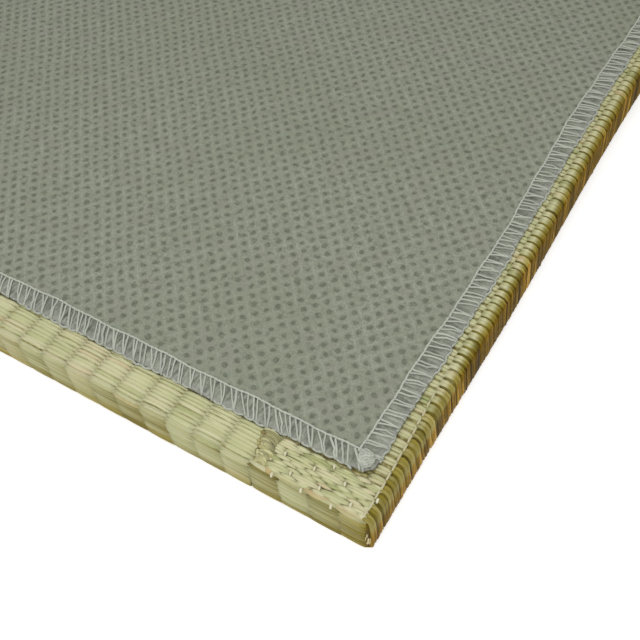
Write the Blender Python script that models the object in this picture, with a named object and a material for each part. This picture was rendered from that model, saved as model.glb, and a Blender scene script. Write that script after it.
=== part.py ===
# Thin borderless tatami mat lying face down, with its cloth backing up.
# The woven rush facing wraps the slab and turns onto the back along all four edges.
# The backing cloth lies inside that turned strip, and a knot of thread tails ends each corner.
# Metres, +Z up. The origin is at the middle of the underside.

import math

import bmesh
import bpy
from mathutils import Matrix, Vector

MM = 0.001
GAP = 0.3 * MM
WELD = 0.001 * MM

# Whole mat
MAT_WIDTH = 820 * MM
MAT_LENGTH = 820 * MM
MAT_THICKNESS = 15 * MM

# Ribs of the weave, which run from front to back
RIB_COUNT = 98
RIB_PITCH = MAT_WIDTH / RIB_COUNT
GROOVE_DEPTH = 0.45 * MM
GROOVE_HALF_WIDTH = 0.9 * MM
FLAP_GROOVE_SHARE = 0.35

# Rounding of the wrapped edges
UNDER_RADIUS = 2.5 * MM
FRONT_TOP_RADIUS = 2.2 * MM
SIDE_TOP_RADIUS = 2.4 * MM
CORNER_RADIUS = 2.6 * MM
ARC_STEPS = 2
END_STEPS = 3

# Strip of facing turned onto the back, and the lower field inside it
FRONT_MARGIN = 10.1 * MM
SIDE_MARGIN = 5.9 * MM
FIELD_DROP = 0.6 * MM
FIELD_SLOPE = 0.3 * MM

# Backing cloth with its thicker overlocked hem
CLOTH_THICKNESS = 1.0 * MM
HEM_WIDTH = 5.6 * MM
HEM_RISE = 0.3 * MM
HEM_SLOPE = 0.5 * MM
HEM_LINES = 3
CLOTH_CORNER_CUT = 0.8 * MM
CLOTH_CELLS = 8
CLOTH_LIFT = 0.25 * MM

# Knot of thread tails on each corner of the hem
KNOT_LENGTH = 7.4 * MM
KNOT_BREADTH = 6.0 * MM
KNOT_HEIGHT = 1.6 * MM
KNOT_LUMP_SHARE = 0.09
KNOT_LUMPS = 5

# Bound end of the selvedge, a lumpy bar across the front and back strips near each corner
BAR_FROM_SIDE = 31.4 * MM
BAR_LEAN = 0.28
BAR_SUNK = 0.6 * MM
BAR_SIDES = 8
BAR_SECTIONS_MM = (
    {"from_edge": 2.4, "half_width": 0.9, "rise": 0.25},
    {"from_edge": 3.2, "half_width": 1.9, "rise": 0.90},
    {"from_edge": 4.4, "half_width": 1.5, "rise": 0.65},
    {"from_edge": 5.6, "half_width": 2.2, "rise": 1.20},
    {"from_edge": 6.9, "half_width": 1.7, "rise": 0.85},
    {"from_edge": 8.1, "half_width": 2.1, "rise": 1.25},
    {"from_edge": 9.1, "half_width": 1.5, "rise": 0.80},
    {"from_edge": 9.7, "half_width": 0.8, "rise": 0.30},
)

HALF_WIDTH = MAT_WIDTH / 2
HALF_LENGTH = MAT_LENGTH / 2
FIELD_TOP = MAT_THICKNESS - FIELD_DROP
CLOTH_BOTTOM = FIELD_TOP + GAP
HEM_TOP = CLOTH_BOTTOM + CLOTH_THICKNESS + HEM_RISE

CORNERS = {
    "front_right": (1, -1),
    "front_left": (-1, -1),
    "back_right": (1, 1),
    "back_left": (-1, 1),
}


def clear_scene():
    for old in list(bpy.data.objects):
        bpy.data.objects.remove(old, do_unlink=True)


def make_material(name, colour, roughness):
    material = bpy.data.materials.new(name)
    material.use_nodes = True
    shader = material.node_tree.nodes["Principled BSDF"]
    shader.inputs["Base Color"].default_value = (*colour, 1.0)
    shader.inputs["Roughness"].default_value = roughness
    shader.inputs["Metallic"].default_value = 0.0
    material.diffuse_color = (*colour, 1.0)
    return material


def make_object(name, bm, material):
    bmesh.ops.recalc_face_normals(bm, faces=bm.faces)
    mesh = bpy.data.meshes.new(name)
    bm.to_mesh(mesh)
    bm.free()
    mesh.materials.append(material)
    made = bpy.data.objects.new(name, mesh)
    bpy.context.scene.collection.objects.link(made)
    return made


def closed_tube(rings, sides, place):
    """A capped tube bent from a flat grid, where place(ring, side) gives each point."""
    bm = bmesh.new()
    bmesh.ops.create_grid(bm, x_segments=sides, y_segments=rings - 1, size=1.0)
    for index, vert in enumerate(bm.verts):
        ring, side = divmod(index, sides + 1)
        vert.co = place(ring, side % sides)
    bmesh.ops.remove_doubles(bm, verts=bm.verts, dist=WELD)
    bmesh.ops.holes_fill(bm, edges=bm.edges, sides=sides)
    return bm


def quarter_turn(steps):
    """Sine and cosine of each step of a quarter turn."""
    turns = [math.pi / 2 * step / steps for step in range(steps + 1)]
    return [(math.sin(turn), math.cos(turn)) for turn in turns]


def edge_profile():
    """Half section from underside to back: inset, height, and the direction a groove cuts."""
    points = []
    for s, c in quarter_turn(ARC_STEPS):
        inset = UNDER_RADIUS * (1 - s)
        height = UNDER_RADIUS * (1 - c)
        points.append({"inset": inset, "height": height, "cut_in": s, "cut_up": c})
    for s, c in quarter_turn(ARC_STEPS):
        inset = FRONT_TOP_RADIUS * (1 - c)
        height = MAT_THICKNESS - FRONT_TOP_RADIUS * (1 - s)
        points.append({"inset": inset, "height": height, "cut_in": c, "cut_up": -s})
    strip = FRONT_MARGIN - GAP - FIELD_SLOPE
    points.append({"inset": strip, "height": MAT_THICKNESS, "cut_in": 0, "cut_up": -1})
    field = {"inset": strip + FIELD_SLOPE, "height": MAT_THICKNESS, "field": True}
    points.append({"cut_in": 0, "cut_up": 0, **field})
    return points


def cross_sections():
    """Sections from the left side to the right: place, groove, end rounding and field."""
    left = []
    for s, c in reversed(quarter_turn(END_STEPS)):
        inset = SIDE_TOP_RADIUS * (1 - s)
        left.append({"x": inset - HALF_WIDTH, "groove": 0, "turn": 1 - c, "field": 0})
    strip_end = SIDE_MARGIN - GAP - FIELD_SLOPE - HALF_WIDTH
    left.append({"x": strip_end, "groove": 0, "turn": 0, "field": 0})
    left.append({"x": strip_end + FIELD_SLOPE, "groove": 0, "turn": 0, "field": 1})
    for rib in range(1, RIB_COUNT // 2):
        valley = rib * RIB_PITCH - HALF_WIDTH
        for offset, groove in ((-GROOVE_HALF_WIDTH, 0), (0, 1), (GROOVE_HALF_WIDTH, 0)):
            left.append({"x": valley + offset, "groove": groove, "turn": 0, "field": 1})
    left.append({"x": -GROOVE_HALF_WIDTH, "groove": 0, "turn": 0, "field": 1})
    middle = {"x": 0, "groove": 1, "turn": 0, "field": 1}
    right = [{**section, "x": -section["x"]} for section in reversed(left)]
    return [*left, middle, *right]


def slab_point(section, point, facing):
    """Where one profile point of one section lies; facing is -1 at the front, 1 at the back."""
    groove = GROOVE_DEPTH * section["groove"]
    over_flap = abs(section["x"]) > HALF_WIDTH - BAR_FROM_SIDE
    if over_flap and point["cut_up"] < 0 and point["cut_in"] < 1:
        groove *= FLAP_GROOVE_SHARE
    inset = point["inset"] + groove * point["cut_in"] + CORNER_RADIUS * section["turn"]
    height = point["height"] + groove * point["cut_up"]
    if point.get("field"):
        height -= FIELD_DROP * section["field"]
    lost = (UNDER_RADIUS + SIDE_TOP_RADIUS) * section["turn"]
    height = UNDER_RADIUS * section["turn"] + height * (1 - lost / MAT_THICKNESS)
    return Vector((section["x"], facing * (HALF_LENGTH - inset), height))


def selvedge_bar(name, side, facing, material):
    def place(ring, step):
        section = BAR_SECTIONS_MM[ring]
        from_edge = section["from_edge"] * MM
        half_width = section["half_width"] * MM
        half_height = (section["rise"] * MM + BAR_SUNK) / 2
        turn = 2 * math.pi * step / BAR_SIDES
        x = HALF_WIDTH - BAR_FROM_SIDE - BAR_LEAN * (from_edge - FRONT_MARGIN / 2)
        x += half_width * math.cos(turn)
        z = MAT_THICKNESS - BAR_SUNK + half_height * (1 + math.sin(turn))
        return Vector((side * x, facing * (HALF_LENGTH - from_edge), z))

    bar = make_object(name, closed_tube(len(BAR_SECTIONS_MM), BAR_SIDES, place), material)
    bar.hide_render = True
    bar.display_type = "WIRE"
    return bar


def rush_facing(material):
    half = edge_profile()
    front = [(point, -1) for point in half]
    back = [(point, 1) for point in reversed(half)]
    around = front + back
    sections = cross_sections()

    def place(ring, step):
        point, facing = around[step]
        return slab_point(sections[ring], point, facing)

    facing_body = make_object("rush_facing", closed_tube(len(sections), len(around), place), material)
    for corner, (side, facing) in CORNERS.items():
        bar = selvedge_bar("selvedge_bar_" + corner, side, facing, material)
        join = facing_body.modifiers.new("join_" + corner, "BOOLEAN")
        join.operation = "UNION"
        join.solver = "EXACT"
        join.object = bar
    return facing_body


def cloth_lines(rim):
    """Grid lines across the cloth, with the hem's lines at both ends."""
    hem = [-rim, HEM_WIDTH - HEM_SLOPE - rim, HEM_WIDTH - rim]
    inner = rim - HEM_WIDTH
    cells = [inner * (2 * cell / CLOTH_CELLS - 1) for cell in range(1, CLOTH_CELLS)]
    return [*hem, *cells, *[-line for line in reversed(hem)]]


def cloth_lift(column, row):
    """How far the cloth stands off the slab at a grid point, nothing at its middle and hem."""
    middle = CLOTH_CELLS / 2 + HEM_LINES - 1
    off_middle = max(abs(column - middle), abs(row - middle))
    if off_middle <= 1 or off_middle >= middle - HEM_LINES + 1:
        return 0
    return CLOTH_LIFT * (1 + math.sin(2.3 * column) * math.cos(1.9 * row)) / 2


def backing_cloth(material):
    across = cloth_lines(HALF_WIDTH - SIDE_MARGIN)
    along = cloth_lines(HALF_LENGTH - FRONT_MARGIN)
    last = len(across) - 1
    bm = bmesh.new()
    bmesh.ops.create_grid(bm, x_segments=last, y_segments=last, size=1.0)
    under = bm.verts[:]
    for index, vert in enumerate(under):
        row, column = divmod(index, last + 1)
        x = across[column]
        y = along[row]
        if {row, column} <= {0, last}:
            x -= math.copysign(CLOTH_CORNER_CUT, x)
            y -= math.copysign(CLOTH_CORNER_CUT, y)
        vert.co = (x, y, CLOTH_BOTTOM + cloth_lift(column, row))
    raised = bmesh.ops.extrude_face_region(bm, geom=bm.faces[:], use_keep_orig=True)["geom"]
    upper = [item for item in raised if isinstance(item, bmesh.types.BMVert)]
    bmesh.ops.translate(bm, vec=(0, 0, CLOTH_THICKNESS), verts=upper)
    hem_x = HALF_WIDTH - SIDE_MARGIN - HEM_WIDTH + HEM_SLOPE / 2
    hem_y = HALF_LENGTH - FRONT_MARGIN - HEM_WIDTH + HEM_SLOPE / 2
    hem = [vert for vert in upper if abs(vert.co.x) > hem_x or abs(vert.co.y) > hem_y]
    bmesh.ops.translate(bm, vec=(0, 0, HEM_RISE), verts=hem)
    return make_object("backing_cloth", bm, material)


def thread_knot(corner, side, facing, material):
    bm = bmesh.new()
    bmesh.ops.create_icosphere(bm, subdivisions=2, radius=1.0)
    for vert in bm.verts:
        around = math.atan2(vert.co.y, vert.co.x)
        lump = 1 + KNOT_LUMP_SHARE * math.sin(KNOT_LUMPS * around) * math.cos(3 * vert.co.z)
        vert.co.x *= lump
        vert.co.y *= lump
    size = (KNOT_LENGTH / 2, KNOT_BREADTH / 2, KNOT_HEIGHT / 2)
    bmesh.ops.scale(bm, vec=size, verts=bm.verts)
    turn = Matrix.Rotation(math.atan2(-facing, side), 3, "Z")
    bmesh.ops.rotate(bm, cent=(0, 0, 0), matrix=turn, verts=bm.verts)
    middle = (
        side * (HALF_WIDTH - SIDE_MARGIN - HEM_WIDTH / 2),
        facing * (HALF_LENGTH - FRONT_MARGIN - HEM_WIDTH / 2),
        HEM_TOP + GAP + KNOT_HEIGHT / 2,
    )
    bmesh.ops.translate(bm, vec=middle, verts=bm.verts)
    knot = make_object("thread_knot_" + corner, bm, material)
    knot.data.shade_smooth()
    return knot


def main():
    clear_scene()
    rush = make_material("dried_rush", (0.47, 0.48, 0.27), 0.55)
    cloth = make_material("nonwoven_cloth", (0.25, 0.27, 0.20), 0.9)
    thread = make_material("overlock_thread", (0.38, 0.41, 0.34), 0.75)
    rush_facing(rush)
    backing_cloth(cloth)
    for corner, (side, facing) in CORNERS.items():
        thread_knot(corner, side, facing, thread)


main()
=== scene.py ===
import math

import bmesh
import bpy
import numpy as np
from mathutils import Matrix, Vector


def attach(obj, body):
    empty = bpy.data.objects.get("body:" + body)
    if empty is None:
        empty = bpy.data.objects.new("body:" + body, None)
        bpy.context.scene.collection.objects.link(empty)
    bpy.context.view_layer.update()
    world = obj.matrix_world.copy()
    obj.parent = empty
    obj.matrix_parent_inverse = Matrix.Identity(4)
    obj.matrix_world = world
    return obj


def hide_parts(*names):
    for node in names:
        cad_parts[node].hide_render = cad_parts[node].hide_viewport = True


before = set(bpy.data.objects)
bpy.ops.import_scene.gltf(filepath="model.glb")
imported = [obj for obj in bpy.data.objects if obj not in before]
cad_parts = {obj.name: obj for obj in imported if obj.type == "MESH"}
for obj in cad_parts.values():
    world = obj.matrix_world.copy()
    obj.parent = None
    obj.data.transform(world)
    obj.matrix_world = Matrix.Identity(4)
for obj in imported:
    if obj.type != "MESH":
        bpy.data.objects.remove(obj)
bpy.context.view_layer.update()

mm = 0.001
scene = bpy.context.scene

# The mat lies face down: +Z is the cloth backing, and the corner at +X, -Y is nearest the camera.
# Lengths in these dictionaries are millimetres.
mat = {
    "half": 410.0,
    "top": 15.0,
    "columns": 98,
    "frontMargin": 10.1,  # rush strip turned onto the back, front and back edges
    "sideMargin": 5.9,  # the same at the left and right edges
    "frontRadius": 2.2,
    "underRadius": 2.5,
}
columnWidth = 2 * mat["half"] / mat["columns"]


# camera and light

view = {
    "place": (0.45312, -0.47581, 0.19565),  # metres
    "turn": 37.0,
    "height": 52.6,
    "roll": -7.2,
    "lens": 48.375,
    "sensor": 36.0,
    "clip": (0.01, 50.0),
}

light = {
    "skyStrength": 0.42,
    "skyColour": (1.0, 1.0, 1.0),
    "boxPower": 1.62,  # watts
    "boxSide": 0.42,  # metres
    "boxPlace": (0.46, -0.56, 0.48),
    "boxAim": (0.36, -0.36, 0.0),
    "fillPower": 1.5,  # a second box over the far half
    "fillSide": 0.6,
    "fillPlace": (-0.30, 0.30, 0.55),
    "fillAim": (-0.2, 0.2, 0.0),
    "floorColour": (0.93, 0.93, 0.93),
    "floorGlow": 0.46,
    "floorReach": 60.0,
    "floorUnder": 5.0,  # mm, how far the floor runs in under the mat
}


def addObject(name, data):
    made = bpy.data.objects.new(name, data)
    scene.collection.objects.link(made)
    return made


def makeCamera():
    turn, height, roll = (math.radians(view[k]) for k in ("turn", "height", "roll"))
    level = math.cos(height)
    back = Vector((math.sin(turn) * level, -math.cos(turn) * level, math.sin(height)))
    right = (-back).cross(Vector((0, 0, 1))).normalized()
    up = right.cross(-back)
    side = math.cos(roll) * right + math.sin(roll) * up
    top = -math.sin(roll) * right + math.cos(roll) * up
    camera = addObject("camera", bpy.data.cameras.new("camera"))
    camera.data.lens = view["lens"]
    camera.data.sensor_width = view["sensor"]
    camera.data.clip_start, camera.data.clip_end = view["clip"]
    rotation = Matrix((side, top, back)).transposed()
    camera.matrix_world = Matrix.Translation(view["place"]) @ rotation.to_4x4()
    scene.camera = camera


def makeLights():
    world = bpy.data.worlds.new("softRoom")
    world.use_nodes = True
    sky = world.node_tree.nodes["Background"]
    sky.inputs["Color"].default_value = (*light["skyColour"], 1)
    sky.inputs["Strength"].default_value = light["skyStrength"]
    scene.world = world
    for name in ("box", "fill"):
        box = addObject(name + "Light", bpy.data.lights.new(name + "Light", "AREA"))
        box.data.energy = light[name + "Power"]
        box.data.size = light[name + "Side"]
        box.location = light[name + "Place"]
        back = Vector(light[name + "Place"]) - Vector(light[name + "Aim"])
        box.rotation_euler = back.to_track_quat("Z", "Y").to_euler()


def makeFloor():
    # left open where the mat covers it, so that the mat can be seen from below
    hidden = (mat["half"] - light["floorUnder"]) * mm
    steps = (-light["floorReach"], -hidden, hidden, light["floorReach"])
    points = [(x, y, 0) for y in steps for x in steps]
    mesh = bpy.data.meshes.new("floor")
    mesh.from_pydata(points, [], [(k, k + 1, k + 5, k + 4) for k in (0, 1, 2, 4, 6, 8, 9, 10)])
    floor = addObject("floor", mesh)
    paint = bpy.data.materials.new("paleFloor")
    paint.use_nodes = True
    shader = paint.node_tree.nodes["Principled BSDF"]
    shader.inputs["Base Color"].default_value = (*light["floorColour"], 1)
    shader.inputs["Roughness"].default_value = 0.9
    shader.inputs["Emission Color"].default_value = (1, 1, 1, 1)
    shader.inputs["Emission Strength"].default_value = light["floorGlow"]
    mesh.materials.append(paint)


scene.view_settings.view_transform = "Standard"
makeCamera()
makeLights()
makeFloor()
print("camera, light and floor are set")


# materials

def srgb(*levels):
    return tuple((c / 255 / 12.92) if c <= 10.3 else ((c / 255 + 0.055) / 1.055) ** 2.4 for c in levels)


class Recipe:

    def __init__(self, name):
        self.material = bpy.data.materials.new(name)
        self.material.use_nodes = True
        self.tree = self.material.node_tree
        self.shader = self.tree.nodes["Principled BSDF"]
        self.object = self.node("ShaderNodeTexCoord").outputs["Object"]

    def node(self, kind, inputs=None, **settings):
        made = self.tree.nodes.new(kind)
        for name, value in settings.items():
            setattr(made, name, value)
        for name, value in (inputs or {}).items():
            self.put(made.inputs[name], value)
        return made

    def put(self, socket, value):
        if isinstance(value, bpy.types.NodeSocket):
            self.tree.links.new(value, socket)
        else:
            socket.default_value = value

    def math(self, operation, first, second=0.0, third=0.0, clamp=False):
        inputs = {0: first, 1: second, 2: third}
        return self.node("ShaderNodeMath", inputs, operation=operation, use_clamp=clamp).outputs[0]

    def add(self, first, second):
        return self.math("ADD", first, second)

    def minus(self, first, second):
        return self.math("SUBTRACT", first, second)

    def times(self, first, second):
        return self.math("MULTIPLY", first, second)

    def line(self, value, slope, start):
        return self.math("MULTIPLY_ADD", value, slope, start)

    def fold(self, value):  # 0.5 at whole numbers, 0 midway between them
        return self.math("ABSOLUTE", self.minus(self.math("FRACT", value), 0.5))

    def vector(self, operation, first, second=(0, 0, 0)):
        made = self.node("ShaderNodeVectorMath", {0: first, 1: second}, operation=operation)
        return made.outputs["Value" if operation == "LENGTH" else "Vector"]

    def split(self, vector):
        parts = self.node("ShaderNodeSeparateXYZ", {0: vector}).outputs
        return parts[0], parts[1], parts[2]

    def join(self, x, y, z=0.0):
        return self.node("ShaderNodeCombineXYZ", {0: x, 1: y, 2: z}).outputs[0]

    def ramp(self, value, low, high, toLow=0.0, toHigh=1.0):
        inputs = {0: value, 1: low, 2: high, 3: toLow, 4: toHigh}
        return self.node("ShaderNodeMapRange", inputs, interpolation_type="SMOOTHSTEP").outputs[0]

    def noise(self, scale, detail=2.0, rough=0.5):
        vector = self.object
        if isinstance(scale, tuple):  # one for each axis
            vector, scale = self.vector("MULTIPLY", vector, scale), 1.0
        inputs = {"Vector": vector, "Scale": scale, "Detail": detail, "Roughness": rough}
        return self.node("ShaderNodeTexNoise", inputs).outputs["Fac"]

    def colours(self, value, stops):
        made = self.node("ShaderNodeValToRGB", {0: value})
        row = made.color_ramp.elements
        while len(row) < len(stops):
            row.new(0.5)
        for element, (place, colour) in zip(row, stops):
            element.position = place
            element.color = (*srgb(*colour), 1)
        return made.outputs[0]

    def blend(self, amount, first, second, kind="MIX"):
        made = self.node("ShaderNodeMix", data_type="RGBA", blend_type=kind, clamp_factor=True)
        self.put(made.inputs["Factor"], amount)
        for place, colour in ((6, first), (7, second)):
            plain = not isinstance(colour, bpy.types.NodeSocket)
            self.put(made.inputs[place], (*srgb(*colour), 1) if plain else colour)
        return made.outputs[2]

    def shade(self, colour, amount):
        return self.blend(1.0, colour, self.join(amount, amount, amount), "MULTIPLY")

    def tints(self):
        tint = self.node("ShaderNodeAttribute", attribute_name="tint")
        parts = self.node("ShaderNodeSeparateColor", {0: tint.outputs["Color"]}).outputs
        return parts[0], parts[1], parts[2]

    def finish(self, colour, roughness, height, depth):
        self.put(self.shader.inputs["Base Color"], colour)
        self.put(self.shader.inputs["Roughness"], roughness)
        bump = self.node("ShaderNodeBump", {"Strength": 1.0, "Distance": depth * mm, "Height": height})
        self.put(self.shader.inputs["Normal"], bump.outputs[0])
        return self.material


rushLooks = {
    "hues": [
        (0.0, (172, 177, 122)), (0.3, (196, 197, 148)), (0.62, (211, 210, 168)),
        (0.86, (212, 203, 164)), (1.0, (198, 178, 136)),
    ],
    "brown": [(0.0, (60, 42, 0)), (0.35, (102, 78, 3)), (0.65, (132, 101, 8)), (1.0, (186, 146, 54))],
    "olive": [(0.0, (104, 92, 22)), (0.5, (142, 128, 44)), (1.0, (182, 168, 88))],
    "speck": (120, 92, 50),
    # how far the tint's second channel darkens a rush: painted shade, and random darker tone on the corner
    # tufts
    "paintedShadeAndTone": 0.42,
    "roughness": 0.55,
}


def rushMaterial(name, fine):
    m = Recipe(name)
    one, end, brown = m.tints()
    streak = m.noise(fine, 3.0, 0.6)
    patch = m.noise(90.0)
    hue = m.add(m.line(m.minus(patch, 0.5), 0.5, one), m.line(streak, 0.36, -0.18))
    pale = m.colours(hue, rushLooks["hues"])
    dark = m.colours(m.add(m.line(streak, 0.9, -0.45), one), rushLooks["brown"])
    olive = m.colours(m.add(m.line(streak, 0.7, -0.35), one), rushLooks["olive"])
    colour = m.blend(m.ramp(brown, 0.0, 0.5), pale, olive)
    colour = m.blend(m.ramp(brown, 0.5, 1.0), colour, dark)
    speck = m.ramp(m.noise(tuple(f * 0.85 for f in fine), 1.0), 0.66, 0.76)
    colour = m.blend(m.times(speck, 0.55), colour, rushLooks["speck"])
    # the tint's second channel is painted shade (rush ends under their neighbours, the fold, the upright
    # face, the gaps, under the flap) and, on the corner tufts, random darker tone
    shade = m.times(m.line(end, -rushLooks["paintedShadeAndTone"], 1.0), m.line(streak, 0.34, 0.83))
    colour = m.shade(colour, shade)
    rough = m.line(streak, 0.25, rushLooks["roughness"] - 0.1)
    m.put(m.shader.inputs["Specular IOR Level"], m.line(brown, -0.2, 0.24))
    return m.finish(colour, rough, streak, 0.10)


print("materials are ready")


# the left and right sides and the cloth's hem there run in gentle bows

sideBow = {
    "from": 20.0,  # the first bow starts this far from a corner
    "length": 130.0,
    "insets": (0.0, 5.9, 11.4, 40.0),  # from the edge, each with how far the bow pushes out there
    "amounts": (0.6, 0.85, 1.45, 0.0),
}


def bowOut(x, y):
    away = np.maximum(mat["half"] - np.abs(y) - sideBow["from"], 0)
    bump = np.sin(math.pi * away / sideBow["length"]) ** 2
    return x + np.sign(x) * bump * np.interp(mat["half"] - np.abs(x), sideBow["insets"], sideBow["amounts"])


# strands: many bent tubes joined in one mesh

class Bundle:

    def __init__(self):
        self.paths, self.radii, self.tints = [], [], []

    # dark darkens a strand in its material: on most strands painted shade, on some a fixed or random darker
    # tone
    def add(self, path, radii, hue, dark, brown=0.0):
        self.paths.append(path)
        self.radii.append(np.zeros(len(path)) + radii)
        self.tints.append(np.stack(np.broadcast_arrays(np.zeros(len(path)) + hue, dark, brown), axis=1))


def bounded(dice, mean, spread, low, high, count=None):
    return np.clip(dice.normal(mean, spread, count), low, high)


def cornerPath(side, facing, fromSide, fromFront, height):
    x = side * (mat["half"] - fromSide)
    y = facing * (mat["half"] - fromFront)
    return np.stack(np.broadcast_arrays(x, y, height), axis=1)


def strandShape(sides, rings):
    bm = bmesh.new()
    bmesh.ops.create_cone(bm, cap_ends=True, segments=sides, radius1=1.0, radius2=1.0, depth=rings - 1)
    lengthwise = [edge for edge in bm.edges if abs(edge.verts[0].co.z - edge.verts[1].co.z) > 0.5]
    bmesh.ops.subdivide_edges(bm, edges=lengthwise, cuts=rings - 2)
    bmesh.ops.recalc_face_normals(bm, faces=bm.faces)
    bm.verts.index_update()
    ring = [round(vert.co.z + (rings - 1) / 2) for vert in bm.verts]
    turn = [math.atan2(vert.co.y, vert.co.x) for vert in bm.verts]
    faces = [[vert.index for vert in face.verts] for face in bm.faces]
    bm.free()
    return np.array(ring), np.array(turn), faces


def strandPiece(name, bundle, material, up=(0, 0, 1), flat=1.0, sides=6):
    paths, radii = np.asarray(bundle.paths), np.asarray(bundle.radii)
    count, rings = paths.shape[:2]
    ring, turn, faces = strandShape(sides, rings)
    along = np.gradient(paths, axis=1)
    along /= np.linalg.norm(along, axis=2, keepdims=True)
    across = np.cross(up, along)
    across /= np.maximum(np.linalg.norm(across, axis=2, keepdims=True), 1e-9)
    lift = np.cross(along, across)
    wide = radii[:, ring, None]
    points = paths[:, ring] + across[:, ring] * wide * np.cos(turn)[:, None]
    points += lift[:, ring] * wide * flat * np.sin(turn)[:, None]
    points[..., 0] = bowOut(points[..., 0], points[..., 1])
    offsets = np.arange(count) * len(ring)
    joined = []
    for size in sorted({len(face) for face in faces}):
        alike = np.array([face for face in faces if len(face) == size])
        joined += (alike[None] + offsets[:, None, None]).reshape(-1, size).tolist()
    mesh = bpy.data.meshes.new(name)
    mesh.from_pydata((points.reshape(-1, 3) * mm).tolist(), [], joined)
    mesh.shade_smooth()
    colour = np.ones((count, len(ring), 4), np.float32)
    colour[..., :3] = np.asarray(bundle.tints)[:, ring]
    mesh.attributes.new("tint", "FLOAT_COLOR", "POINT").data.foreach_set("color", colour.ravel())
    mesh.materials.append(material)
    piece = addObject(name, mesh)
    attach(piece, "root")
    print(name, "has", count, "strands,", sum(len(f) - 2 for f in faces) * count, "triangles")
    return piece


# slab base, under the rushes and the ribbed face below

baseLooks = {
    "sunkTop": 0.55,
    "sunkFront": 0.7,
    "sunkSide": 1.2,
    "rowPitch": 1.1,
    # gap and under: the darker colours of the grooves and of the slab seen between the rushes, painted
    # shade
    "gap": (186, 178, 120),
    "under": (132, 118, 66),
    "sideDark": (66, 48, 14),
    "sidePale": (120, 88, 32),
}


def baseMaterial():
    m = Recipe("wovenRushFace")
    x, y, z = m.split(m.object)
    column = m.math("DIVIDE", x, columnWidth * mm)
    index = m.math("FLOOR", column)
    odd = m.math("MODULO", m.add(index, 1000.0), 2.0)
    row = m.add(m.math("DIVIDE", y, baseLooks["rowPitch"] * mm), m.times(odd, 0.5))
    wobble = m.noise((60.0, 260.0, 60.0))
    row = m.add(row, m.line(wobble, 0.7, -0.35))
    across = m.fold(row)
    crest = m.minus(1.0, m.times(m.times(across, across), 3.6))
    middle = m.times(m.fold(column), 2.0)
    height = m.minus(crest, m.times(m.math("POWER", middle, 5.0), 1.6))
    cell = m.join(index, m.math("FLOOR", row))
    one = m.node("ShaderNodeTexWhiteNoise", {"Vector": cell}, noise_dimensions="2D").outputs["Value"]
    streak = m.noise((90.0, 4200.0, 4200.0))
    colour = m.colours(m.line(streak, 0.4, m.times(one, 0.75)), rushLooks["hues"])
    # the grooves between rows and columns take the darker gap colour: painted shade in the grooves
    groove = m.math("MAXIMUM", m.ramp(across, 0.32, 0.5), m.ramp(middle, 0.86, 1.0))
    gap = baseLooks["gap"]
    colour = m.blend(m.times(groove, 0.62), colour, gap)
    # plainer above the woven face, where the single rushes cover it; the darker olive there is painted
    # shade, seen in the gaps between the rushes
    mottled = m.blend(m.ramp(m.noise(700.0), 0.35, 0.65), gap, baseLooks["under"])
    colour = m.blend(m.ramp(z, 1.0 * mm, 2.2 * mm), colour, mottled)
    sides = m.ramp(m.math("ABSOLUTE", x), (mat["half"] - 2.2) * mm, (mat["half"] - 1.4) * mm)
    brown = m.blend(streak, baseLooks["sideDark"], baseLooks["sidePale"])
    colour = m.blend(m.times(sides, 0.92), colour, brown)
    return m.finish(colour, m.line(streak, 0.2, 0.45), height, 0.35)


def makeBase():
    bm = bmesh.new()
    bm.from_mesh(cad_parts["rush_facing"].data)
    bmesh.ops.remove_doubles(bm, verts=bm.verts, dist=1e-6)
    for vert in bm.verts:
        vert.co.x *= 1 - baseLooks["sunkSide"] / mat["half"]
        vert.co.y *= 1 - baseLooks["sunkFront"] / mat["half"]
        if vert.co.z > 14.6 * mm:
            vert.co.z -= baseLooks["sunkTop"] * mm
    bmesh.ops.recalc_face_normals(bm, faces=bm.faces)
    mesh = bpy.data.meshes.new("rushBase")
    bm.to_mesh(mesh)
    bm.free()
    if "custom_normal" in mesh.attributes:  # normals kept from the solid would show as streaks
        mesh.attributes.remove(mesh.attributes["custom_normal"])
    mesh.shade_smooth()
    mesh.set_sharp_from_angle(angle=math.radians(20))
    mesh.materials.append(baseMaterial())
    piece = addObject("rushBase", mesh)
    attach(piece, "root")
    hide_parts("rush_facing")
    print("rushBase is made")


makeBase()


# rushes of the front and back strips and faces

frontWeave = {
    "pitch": 1.1,
    "firstRow": 0.5,  # along the profile from just under the hem
    "hemInset": 10.6,
    "radius": 0.69,
    "dip": 0.34,  # how far a rush's ends go under its neighbours
    "faceDip": 0.04,  # the same on the upright face
    "stagger": 0.55,
    "foldGap": 0.42,  # the open line along the fold
    "stripEnd": 30.6,  # the plain strip stops this far from the sides, at the bound end
    "wander": 0.10,
}


# along the profile, from the hem over the fold and down the face
flatEnd = frontWeave["hemInset"] - mat["frontRadius"]
foldEnd = flatEnd + mat["frontRadius"] * math.pi / 2
faceEnd = foldEnd + mat["top"] - mat["frontRadius"] - mat["underRadius"]
profileLength = faceEnd + mat["underRadius"] * math.pi / 2


def frontProfile(s, sink):
    top, radius, under = mat["top"], mat["frontRadius"], mat["underRadius"]
    a = np.clip((s - flatEnd) / radius, 0, math.pi / 2)
    b = np.clip((s - faceEnd) / under, 0, math.pi / 2)
    down = np.clip(s - foldEnd, 0, faceEnd - foldEnd)
    inset = frontWeave["hemInset"] - np.clip(s, -9, flatEnd) - radius * np.sin(a) + under * (1 - np.cos(b))
    height = top - radius * (1 - np.cos(a)) - down - under * np.sin(b)
    outInset = np.where(b > 0, -np.cos(b), -np.sin(a))
    outHeight = np.where(b > 0, -np.sin(b), np.cos(a))
    return inset - outInset * sink, height - outHeight * sink


def alongProfile(inset):
    if inset >= mat["frontRadius"]:
        return frontWeave["hemInset"] - inset
    return flatEnd + mat["frontRadius"] * math.asin(1 - inset / mat["frontRadius"])


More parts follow.
